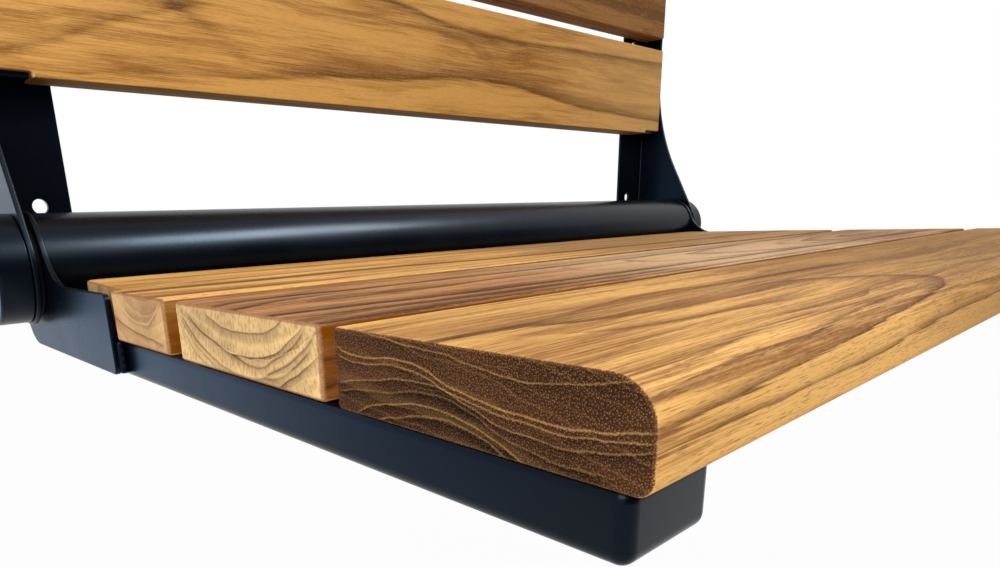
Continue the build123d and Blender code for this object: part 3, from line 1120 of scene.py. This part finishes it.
    def middle(self) -> Board:
        """Middle board of the seat.

        Returns:
            The board.
        """
        left, right, front, rear = self.plan("middle_seat_slat")
        corners = ((left, front), (right, front), (right, rear), (left, rear))
        outline = [Corner(x, y, self.corner) for x, y in corners]
        finish = TeakFinish(
            "teak_middle_board", (0.0, (front + rear) / 2, self.seat_top), pith_across=-3.0, pith_depth=48.0,
            lean=-0.10, ring_gap=6.0, wander=2.6, seed=11.2,
            light=(0.58, 0.280, 0.108), brown=(0.205, 0.086, 0.033), line=(0.045, 0.018, 0.009),
            # Painted shade on the faces towards the gaps.
            late_strength=0.6, stripe_strength=0.7, band_strength=0.7, flow_strength=0.5, gap_side_shade=1.0,
            # The pale colour blended in along the top, strongest from about X -110 to 90, is a painted sheen.
            tone_and_sheen_colour=(0.88, 0.58, 0.315),
            tone_and_sheen_path=((-430, 0.0), (-270, 0.0), (-190, 0.35), (-110, 0.8), (-20, 0.85), (90, 0.6), (200, 0.3),
                   (430, 0.2)),
            end_ground=(0.76, 0.51, 0.225), end_line=(0.13, 0.060, 0.035), end_early=(0.80, 0.58, 0.26),
            end_line_strength=0.2, end_early_strength=0.3, end_dot_strength=0.1, end_ray_strength=0.4,
            rim_strength=0.9,
            end_lines=(
                EndLine(((-32, -0.5), (-22, -5), (-10, -7), (5, -7), (19, -4.5), (25, -2)),
                        0.25, 0.2, 0.8, 1.5),
                EndLine(((-45, -1.5), (-36, -7), (-20, -14), (1, -16), (19, -12.5), (40, -4)),
                        0.25, 0.2, 0.95, 2.0),
                EndLine(((-51, -3), (-42, -10), (-25, -18), (-4, -23), (18, -20), (41, -8.5), (46, -4)),
                        0.45, 0.1, 0.75, 2.5),
                EndLine(((-45, -2.5), (-37, -9), (-26, -14), (-12, -18.5), (5, -15.5)), 0.35, 0.1, 0.6, 1.5),
                EndLine(((22, -24.5), (36, -19.5), (45, -12.5), (50, -7)), 0.3, 0.2, 0.6),
                EndLine(((22, -22), (36, -15.5), (48, -5)), 0.3, 0.2, 0.5),
                EndLine(((-52, -10), (-43, -15.5), (-27, -23)), 0.25, 0.2, 0.85, 2.5),
                EndLine(((-47, -9), (-39, -14.5), (-28, -20), (-18, -21.5)), 0.35, 0.1, 0.65, 2.0)),
            lines=(
                GrainLine(((-430, 14), (-383, 18), (-366, 24.5), (-347, 26), (-309, 22), (-200, 20),
                           (60, 24)), 2.2, 6.0, 1.0),
                GrainLine(((-430, -6), (-385, 0.5), (-355, 13), (-320, 17)), 2.2, 5.5, 1.0),
                GrainLine(((-430, -20), (-345, -26), (-265, -32.5), (0, -34), (381, -30)), 2.4, 7.0, 1.0),
                GrainLine(((-430, -47), (-347, -51), (40, -50)), 2.0, 5.0, 0.9),
                GrainLine(((-430, -33), (-381, -34.5), (-290, -43), (-150, -44)), 2.0, 5.0, 0.85),
                GrainLine(((-330, 37), (-241, 43), (-188, 36), (381, 38)), 7.0, 12.0, 0.5),
                GrainLine(((-350, -2), (-310, -0.5), (-285, -4), (-257, -0.5), (-80, 2)), 1.8, 5.0, 0.6),
                GrainLine(((-430, -64), (-381, -64), (-300, -65)), 0.6, 1.0, 1.0),
                GrainLine(((-430, -71), (-381, -72), (-300, -73)), 0.8, 1.6, 1.0)))
        return Board("middle_seat_slat", Carrier.SEAT, finish, outline, Axis.Z, self.edge)

    def rear(self) -> Board:
        """Rear board of the seat, notched beside both hinge plates.

        Returns:
            The board.
        """
        left, right, front, rear = self.plan("rear_seat_slat")
        outline = [
            Corner(left, front, self.corner), Corner(right, front, self.corner),
            Corner(right, self.notch_shoulder, self.corner),
            Corner(self.notch_inner, self.notch_shoulder, self.notch_inner_radius),
            Corner(self.notch_rear, rear, self.notch_rear_radius),
            Corner(-self.notch_rear, rear, self.notch_rear_radius),
            Corner(-self.notch_inner, self.notch_shoulder, self.notch_inner_radius),
            Corner(left, self.notch_shoulder, self.corner)]
        finish = TeakFinish(
            "teak_rear_board", (0.0, (front + rear) / 2, self.seat_top), pith_across=-57.0, pith_depth=40.0,
            lean=0.01, ring_gap=6.5, wander=2.4, seed=23.9,
            light=(0.94, 0.53, 0.170), brown=(0.42, 0.180, 0.046), line=(0.11, 0.042, 0.010),
            late_strength=0.35, stripe_strength=0.5, band_strength=0.6, flow_strength=0.45,
            tone_and_sheen_colour=(0.33, 0.185, 0.092),
            tone_and_sheen_path=((-430, 0.0), (-100, 0.0), (-50, 0.3), (0, 0.65), (130, 0.6), (430, 0.6)),
            # Painted shade on the faces towards the gaps.
            gap_side_shade=1.0, rim_strength=0.85,
            end_ground=(0.64, 0.395, 0.180), end_line=(0.16, 0.072, 0.036), end_line_strength=0.35,
            end_ray_strength=0.3,
            end_lines=(
                EndLine(((-76, -20), (-57, -17.5), (-37, -16), (-22, -12.5), (-15, -10)),
                        0.4, 0.2, 0.75, 1.5),
                EndLine(((-77, -3), (-67, -9), (-57, -12.5), (-42, -11.5), (-29, -7), (-27, -2.5)),
                        0.5, 0.6, 0.25, 1.5),
                EndLine(((-74, -1), (-56, -7.5), (-46, -7.5), (-33, -2)), 1.4, 0.0, 0.35)),
            lines=(
                GrainLine(((-430, -40), (-362, -31), (-308, -33), (-238, -29), (-122, -38), (381, -36)),
                          4.5, 11.0, 1.0),
                GrainLine(((-430, -70), (-326, -66), (-285, -66)), 3.0, 6.0, 0.8),
                GrainLine(((-460, 0), (-381, 0), (-300, 0)), 70.0, 70.0, 0.12),
                GrainLine(((-330, 67), (-182, 68), (381, 64)), 3.0, 5.0, 0.45)))
        return Board("rear_seat_slat", Carrier.SEAT, finish, outline, Axis.Z, self.edge)

    def back(self, node: str, on_ledges: bool, finish: TeakFinish) -> Board:
        """One board of the backrest.

        Args:
            node: Name of its solid.
            on_ledges: Whether it is cut out below for the bracket ledges.
            finish: Its teak.

        Returns:
            The board.
        """
        low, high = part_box(node)
        end, bottom, top = high.x * PER_METRE, low.z * PER_METRE, high.z * PER_METRE
        right = [Corner(end, bottom, self.corner)]
        if on_ledges:
            notch_top = bottom + self.ledge_height
            right = [
                Corner(self.ledge_end, bottom, self.corner),
                Corner(self.ledge_end, notch_top, self.ledge_radius), Corner(end, notch_top, self.corner)]
        right.append(Corner(end, top, self.corner))
        left = [Corner(-corner.across, corner.up, corner.radius) for corner in reversed(right)]
        return Board(node, Carrier.WALL, finish, right + left, Axis.Y, self.edge)

    def lower_back(self) -> Board:
        """Lower board of the backrest."""
        finish = TeakFinish(
            "teak_lower_back_board", (0.0, self.back_front, self.lower_back_middle), Face.FRONT,
            pith_across=-60.0, pith_depth=-190.0, ring_gap=6.5, wander=4.5, seed=41.3,
            light=(0.66, 0.345, 0.092), brown=(0.33, 0.142, 0.030), line=(0.085, 0.034, 0.012),
            late_strength=0.4, stripe_strength=0.35, band_strength=0.45, flow_strength=0.6,
            # Painted shade on the bottom face.
            vessel_strength=0.2, under_shade_strength=0.75, tone_and_sheen_colour=(0.66, 0.385, 0.145),
            tone_and_sheen_path=((-430, 0.0), (120, 0.0), (280, 0.5), (430, 0.65)),
            lines=(
                GrainLine(((-160, -28), (-60, -23), (63, -14), (140, -19), (213, -27), (430, -34)),
                          2.0, 12.0, 0.9),
                GrainLine(((-120, 45), (-40, 36), (63, 26), (213, 29), (430, 35)), 2.2, -11.0, 0.85),
                GrainLine(((-400, -40), (-348, -27.5), (-304, -9.5), (-264, 2.5), (-230, 13)), 4.0, 9.0, 0.6),
                GrainLine(((-330, -44), (-280, -38.5), (-220, -36), (-140, -30)), 1.5, 6.0, 0.6),
                GrainLine(((-265, 9), (-248, 3), (-231, -3)), 7.0, 8.0, 0.8)))
        return self.back("lower_back_slat", True, finish)

    def upper_back(self) -> Board:
        """Upper board of the backrest."""
        finish = TeakFinish(
            "teak_upper_back_board", (0.0, self.back_front, self.upper_back_middle), Face.FRONT,
            pith_across=30.0, pith_depth=-160.0, ring_gap=6.0, wander=4.0, seed=57.7,
            light=(0.33, 0.150, 0.046), brown=(0.175, 0.072, 0.021), line=(0.075, 0.031, 0.012),
            late_strength=0.6)
        return self.back("upper_back_slat", False, finish)

    def build(self, rings: bpy.types.NodeTree, fibres: bpy.types.NodeTree) -> None:
        """Build and dress all five boards.

        Args:
            rings: The growth ring group.
            fibres: The wood fibre group.
        """
        for board in (self.front(), self.middle(), self.rear(), self.lower_back(), self.upper_back()):
            piece = board.build()
            board.dress(piece, rings, fibres)
            LOG.info("%s: %d faces, rides on %s", piece.name, len(piece.data.polygons), board.carrier.value)


@dataclass(frozen=True)
class Ring:
    """Ring of a turned screw: radius and height in mm, and whether it follows the lobes of the drive."""

    radius: float
    height: float
    lobed: bool = False


@dataclass(frozen=True)
class Screw:
    """Wood screw turned from rings, from the floor of its lobed drive over the head to the tip. In mm."""

    rings: tuple[Ring, ...]
    sides: int = 36
    lobes: int = 6
    lobe_depth: float = 0.14

    def turn(self, bm: bmesh.types.BMesh, place: Matrix) -> None:
        """Add one screw to a mesh.

        Args:
            bm: The mesh.
            place: Where the screw's own origin and axis lie, in metres.
        """
        earlier: list[bmesh.types.BMEdge] = []
        for index, ring in enumerate(self.rings):
            ends = index in (0, len(self.rings) - 1)
            circle = bmesh.ops.create_circle(
                bm, cap_ends=ends, segments=self.sides, radius=ring.radius * MM)["verts"]
            for vert in circle:
                around = math.atan2(vert.co.y, vert.co.x)
                wave = 1.0 - self.lobe_depth * (1.0 - math.cos(self.lobes * around)) * ring.lobed
                vert.co = place @ Vector((vert.co.x * wave, vert.co.y * wave, ring.height * MM))
            edges = list({edge for vert in circle for edge in vert.link_edges})
            if earlier:
                bmesh.ops.bridge_loops(bm, edges=earlier + edges)
            earlier = edges


@dataclass
class WoodScrews:
    """The screws of both nodes, with the drives that their solids leave out. Sizes in mm."""

    pan: Screw = Screw((
        Ring(1.9, -1.3, True), Ring(1.9, -3.0, True), Ring(3.0, -2.9), Ring(4.1, -2.4), Ring(4.5, -1.5),
        Ring(4.5, 0.0), Ring(2.4, 0.0), Ring(2.4, 16.0), Ring(0.1, 20.0)))
    flat: Screw = Screw((
        Ring(1.9, 1.7, True), Ring(1.9, 0.0, True), Ring(4.85, 0.0), Ring(5.0, 0.15), Ring(2.4, 2.6),
        Ring(2.4, 16.2), Ring(0.1, 20.2)))
    seat_boards: tuple[str, ...] = ("front_seat_slat", "middle_seat_slat", "rear_seat_slat")
    back_boards: tuple[str, ...] = ("lower_back_slat", "upper_back_slat")
    seat_column: float = 359.9
    seat_level: float = -162.8
    seat_inset: float = 25.0
    back_column: float = 359.3
    back_inset: float = 24.0
    sharp_angle: float = 35.0

    def spread(self, boards: Sequence[str], axis: Axis, inset: float) -> list[float]:
        """Places of two screws in each board along an axis, in mm."""
        ends = [[corner[axis.value] * PER_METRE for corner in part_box(board)] for board in boards]
        return [place for low, high in ends for place in (low + inset, high - inset)]

    def build(self, node: str, carrier: Carrier, screw: Screw, places: Sequence[Matrix]) -> bpy.types.Object:
        """Model the screws of one node.

        Args:
            node: The node that they replace.
            carrier: The body that they ride on.
            screw: Their form.
            places: Where they sit.

        Returns:
            One object with all of them.
        """
        bm = bmesh.new()
        for place in places:
            screw.turn(bm, place)
        bmesh.ops.recalc_face_normals(bm, faces=bm.faces[:])
        group = new_object("driven_" + node, bm)
        group.data.set_sharp_from_angle(angle=math.radians(self.sharp_angle))
        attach(group, carrier.value)
        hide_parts(node)
        return group

    def dress(self, steel: bpy.types.Material) -> None:
        """Build both groups and give them plain steel.

        Args:
            steel: The steel's material.
        """
        seat_rows = self.spread(self.seat_boards, Axis.Y, self.seat_inset)
        back_rows = self.spread(self.back_boards, Axis.Z, self.back_inset)
        seat = [Matrix.Translation(Vector((side * self.seat_column, y, self.seat_level)) * MM)
                for side in (-1, 1) for y in seat_rows]
        lying = Matrix.Rotation(math.pi / 2, 4, "X")
        back = [Matrix.Translation(Vector((side * self.back_column, 0.0, z)) * MM) @ lying
                for side in (-1, 1) for z in back_rows]
        for group in (self.build("seat_slat_screws", Carrier.SEAT, self.pan, seat),
                      self.build("back_slat_screws", Carrier.WALL, self.flat, back)):
            group.data.materials.append(steel)
            LOG.info("%s: %d faces", group.name, len(group.data.polygons))


@dataclass
class KeptPieces:
    """The pieces that keep their solids, sorted by the slot that the record gives them."""

    modelled_again: tuple[str, ...] = ("seat_slat_screws", "back_slat_screws")
    finishes: dict[str, SurfaceFinish] = field(default_factory=lambda: {
        # The coat is near black; the blue in its base colours and its specular tint is painted cool
        # reflection.
        "black_steel": SurfaceFinish(
            "satin_black_powder_coat", (0.0007, 0.0012, 0.0030), (0.0011, 0.0018, 0.0042), 0.24, 0.32,
            grain=0.55, patch=70.0, relief=0.008, specular=0.17, tint=(0.56, 0.76, 1.0)),
        "black_nylon": SurfaceFinish(
            "moulded_black_nylon", (0.003, 0.003, 0.0035), (0.005, 0.005, 0.0055), 0.5, 0.65,
            grain=0.4, patch=12.0, relief=0.02, specular=0.15),
        "black_rubber": SurfaceFinish(
            "matt_black_rubber", (0.016, 0.016, 0.016), (0.024, 0.023, 0.022), 0.75, 0.9,
            grain=0.3, patch=6.0, relief=0.03, specular=0.3),
        "plain_steel": SurfaceFinish(
            "plain_stainless", (0.56, 0.56, 0.57), (0.62, 0.62, 0.63), 0.25, 0.4,
            grain=0.5, patch=8.0, relief=0.004, metallic=1.0)})

    def dress(self, grit_group: bpy.types.NodeTree) -> dict[str, bpy.types.Material]:
        """Give every kept solid the finish of its slot.

        Args:
            grit_group: The fine grit group.

        Returns:
            The materials by slot.
        """
        made = {slot: finish.material(grit_group) for slot, finish in self.finishes.items()}
        for row in frame["record"]["subparts"]:
            slot = row["material_slot"]
            if slot not in made or row["node"] in self.modelled_again:
                continue
            piece = frame["nodes"][row["node"]]
            piece.data.materials.clear()
            piece.data.materials.append(made[slot])
            LOG.info("%s: keeps its solid, finish %s", piece.name, made[slot].name)
        return made


@dataclass
class WeldBeads:
    """Bead of weld that fills the step between a hinge plate's front edge and its seat arm. Sizes in mm."""

    across: float = 378.9
    along: float = -186.4
    low: float = -178.0
    high: float = -161.6
    radius: float = 2.7
    ripple: float = 0.025
    ripple_rows: int = 12
    end_rows: int = 3
    end_share: float = 0.7
    sides: int = 24
    rows: int = 49
    row_tolerance: float = 0.002

    def build(self, name: str, side: float) -> bpy.types.Object:
        """Model one bead.

        Args:
            name: Name of the piece.
            side: 1 for the right arm, -1 for the left.

        Returns:
            The bead's object, riding on the seat.
        """
        bm = bmesh.new()
        bmesh.ops.create_cone(bm, cap_ends=True, segments=self.sides, radius1=self.radius * MM,
                              radius2=self.radius * MM, depth=(self.high - self.low) * MM)
        upright = [edge for edge in bm.edges if abs(edge.verts[0].co.z - edge.verts[1].co.z) > MM]
        bmesh.ops.subdivide_edges(bm, edges=upright, cuts=self.rows, use_grid_fill=True)
        for row, level in enumerate(sorted({round(vert.co.z / MM, 3) for vert in bm.verts})):
            ring = [vert for vert in bm.verts if abs(vert.co.z / MM - level) < self.row_tolerance]
            swell = 1.0 + self.ripple * math.sin(2 * math.pi * row / self.ripple_rows)
            from_end = min(row, self.rows + 1 - row, self.end_rows) / self.end_rows
            swell = swell * (self.end_share + (1.0 - self.end_share) * from_end)
            bmesh.ops.scale(bm, vec=(swell, swell, 1.0), verts=ring)
        middle = Vector((side * self.across, self.along, (self.low + self.high) / 2)) * MM
        bmesh.ops.translate(bm, vec=middle, verts=bm.verts[:])
        bmesh.ops.recalc_face_normals(bm, faces=bm.faces[:])
        bead = new_object(name, bm)
        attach(bead, Carrier.SEAT.value)
        return bead

    def dress(self, coat: bpy.types.Material) -> None:
        """Build both beads and give them the coat of the steel.

        Args:
            coat: The steel's material.
        """
        for name, side in (("left_arm_weld", -1.0), ("right_arm_weld", 1.0)):
            bead = self.build(name, side)
            bead.data.materials.append(coat)
            LOG.info("%s: %d faces, rides on %s", bead.name, len(bead.data.polygons), Carrier.SEAT.value)


@dataclass(frozen=True)
class Card:
    """Upright studio card that shows only in reflections. Metres; it reaches from one end to the other."""

    name: str
    start: tuple[float, float]
    end: tuple[float, float]
    low: float
    high: float
    colour: Colour

    def stand(self) -> None:
        """Make the card."""
        bm = bmesh.new()
        foot = [bm.verts.new((*place, self.low)) for place in (self.start, self.end)]
        raised = bmesh.ops.extrude_edge_only(bm, edges=[bm.edges.new(foot)])["geom"]
        top = [part for part in raised if isinstance(part, bmesh.types.BMVert)]
        bmesh.ops.translate(bm, vec=(0.0, 0.0, self.high - self.low), verts=top)
        card = new_object(self.name, bm, smooth=False)
        material, w = new_material(self.name)
        glow = w.place("Emission", {"Color": self.colour, "Strength": 1.0})
        w.place("OutputMaterial", {"Surface": glow.outputs[0]})
        card.data.materials.append(material)
        card.visible_camera = card.visible_diffuse = card.visible_transmission = card.visible_shadow = False


@dataclass(frozen=True)
class SoftLight:
    """Soft light panel that looks at a point. Metres and watts."""

    name: str
    place: tuple[float, float, float]
    aim: tuple[float, float, float]
    width: float
    height: float
    power: float
    colour: Colour = (1.0, 1.0, 1.0)
    only_gloss: bool = False

    def hang(self) -> None:
        """Make the light."""
        lamp = bpy.data.lights.new(self.name, "AREA")
        lamp.shape, lamp.size, lamp.size_y = "RECTANGLE", self.width, self.height
        lamp.energy, lamp.color = self.power, self.colour
        light = bpy.data.objects.new(self.name, lamp)
        bpy.context.scene.collection.objects.link(light)
        light.location = self.place
        light.rotation_euler = (Vector(self.aim) - Vector(self.place)).to_track_quat("-Z", "Y").to_euler()
        light.visible_diffuse = not self.only_gloss
        light.visible_camera = False


@dataclass
class Studio:
    """Plain pale floor, soft lights, white surroundings and the photograph's camera. Metres."""

    floor_level: float = -0.60
    floor_radius: float = 9.0
    floor_sides: int = 96
    floor_colour: Colour = (0.82, 0.82, 0.82)
    floor_glow: float = 0.96
    white: Colour = (1.0, 1.0, 1.0)
    ambient: float = 0.60
    camera_place: tuple[float, float, float] = (-0.4928, -0.54807, -0.10696)
    camera_right: tuple[float, float, float] = (0.7479, -0.6629, -0.0350)
    camera_up: tuple[float, float, float] = (0.2166, 0.1939, 0.9568)
    camera_back: tuple[float, float, float] = (-0.6275, -0.7231, 0.2886)
    sensor: float = 36.0
    focal_share: float = 0.6885
    shift: tuple[float, float] = (0.0785, 0.1415)
    view_range: tuple[float, float] = (0.01, 60.0)
    lights: tuple[SoftLight, ...] = (
        SoftLight("tube_sheen_panel", (0.50, -0.92, 0.95), (-0.10, -0.08, -0.12), 0.8, 0.4, 43.0,
                  (1.0, 0.97, 0.94), only_gloss=True),
        SoftLight("left_softbox", (-1.25, -0.80, 0.45), (-0.35, -0.3, -0.15), 0.8, 0.8, 14.0),
        SoftLight("front_softbox", (0.3, -1.6, 1.2), (0.0, -0.3, -0.1), 1.0, 1.0, 3.5))
    cards: tuple[Card, ...] = (
        Card("dark_card_in_front", (-3.0, -2.4), (4.0, -2.4), -0.6, 1.0, (0.05, 0.09, 0.16)),
        Card("cool_card_near", (-1.0, 0.1), (-1.0, 0.65), -0.6, 0.05, (0.54, 0.81, 1.24)),
        Card("cool_card_middle", (-1.0, 0.65), (-1.0, 1.95), -0.6, 0.05, (0.74, 1.10, 1.62)),
        Card("cool_card_far", (-1.0, 1.95), (-1.0, 2.6), -0.6, 0.05, (0.38, 0.57, 0.88)))

    def surroundings(self) -> None:
        """White world: full strength where it is seen or mirrored, weaker as light."""
        world = bpy.data.worlds.new("white_surroundings")
        bpy.context.scene.world = world
        world.use_nodes = True
        world.node_tree.nodes.clear()
        w = Wiring(world.node_tree)
        white = w.place("Background", {"Color": self.white, "Strength": 1.0})
        light = w.place("Background", {"Color": self.white, "Strength": self.ambient})
        mixed = w.place("MixShader", {0: w.seen(), 1: light.outputs[0], 2: white.outputs[0]})
        w.place("OutputWorld", {"Surface": mixed.outputs[0]})

    def floor(self) -> None:
        """Round pale floor that looks white and keeps the seat's shadow."""
        bm = bmesh.new()
        bmesh.ops.create_circle(bm, cap_ends=True, segments=self.floor_sides, radius=self.floor_radius)
        bmesh.ops.translate(bm, vec=(0.0, 0.0, self.floor_level), verts=bm.verts[:])
        floor = new_object("pale_floor", bm, smooth=False)
        material, w = new_material("pale_floor")
        matt = w.place("BsdfDiffuse", {"Color": self.floor_colour})
        glow = w.place("Emission", {"Color": self.white, "Strength": 1.0})
        mixed = w.place("MixShader", {0: w.seen() * self.floor_glow, 1: matt.outputs[0], 2: glow.outputs[0]})
        w.place("OutputMaterial", {"Surface": mixed.outputs[0]})
        floor.data.materials.append(material)

    def camera(self) -> None:
        """Camera at the photograph's place, turn and framing."""
        data = bpy.data.cameras.new("photo_camera")
        data.sensor_fit = "HORIZONTAL"
        data.sensor_width = self.sensor
        data.lens = self.focal_share * self.sensor
        data.shift_x, data.shift_y = self.shift
        data.clip_start, data.clip_end = self.view_range
        data.dof.use_dof = False
        camera = bpy.data.objects.new("photo_camera", data)
        bpy.context.scene.collection.objects.link(camera)
        turn = Matrix((self.camera_right, self.camera_up, self.camera_back)).transposed()
        camera.matrix_world = Matrix.Translation(self.camera_place) @ turn.normalized().to_4x4()
        bpy.context.scene.camera = camera

    def set_up(self) -> None:
        """Put the whole studio in place."""
        bpy.context.scene.view_settings.view_transform = "Standard"
        self.surroundings()
        self.floor()
        for light in self.lights:
            light.hang()
        for card in self.cards:
            card.stand()
        self.camera()
        LOG.info("studio: floor at %.2f m, %d soft lights", self.floor_level, len(self.lights))


def main() -> None:
    """Build the seat piece by piece and set up its studio."""
    logging.basicConfig(level=logging.INFO, format="%(name)s %(message)s")
    rings, fibres, grit = GrowthRings().group(), WoodFibres().group(), FineGrit().group()
    TeakBoards().build(rings, fibres)
    coats = KeptPieces().dress(grit)
    WeldBeads().dress(coats["black_steel"])
    WoodScrews().dress(coats["plain_steel"])
    Studio().set_up()


if __name__ == "__main__":
    main()
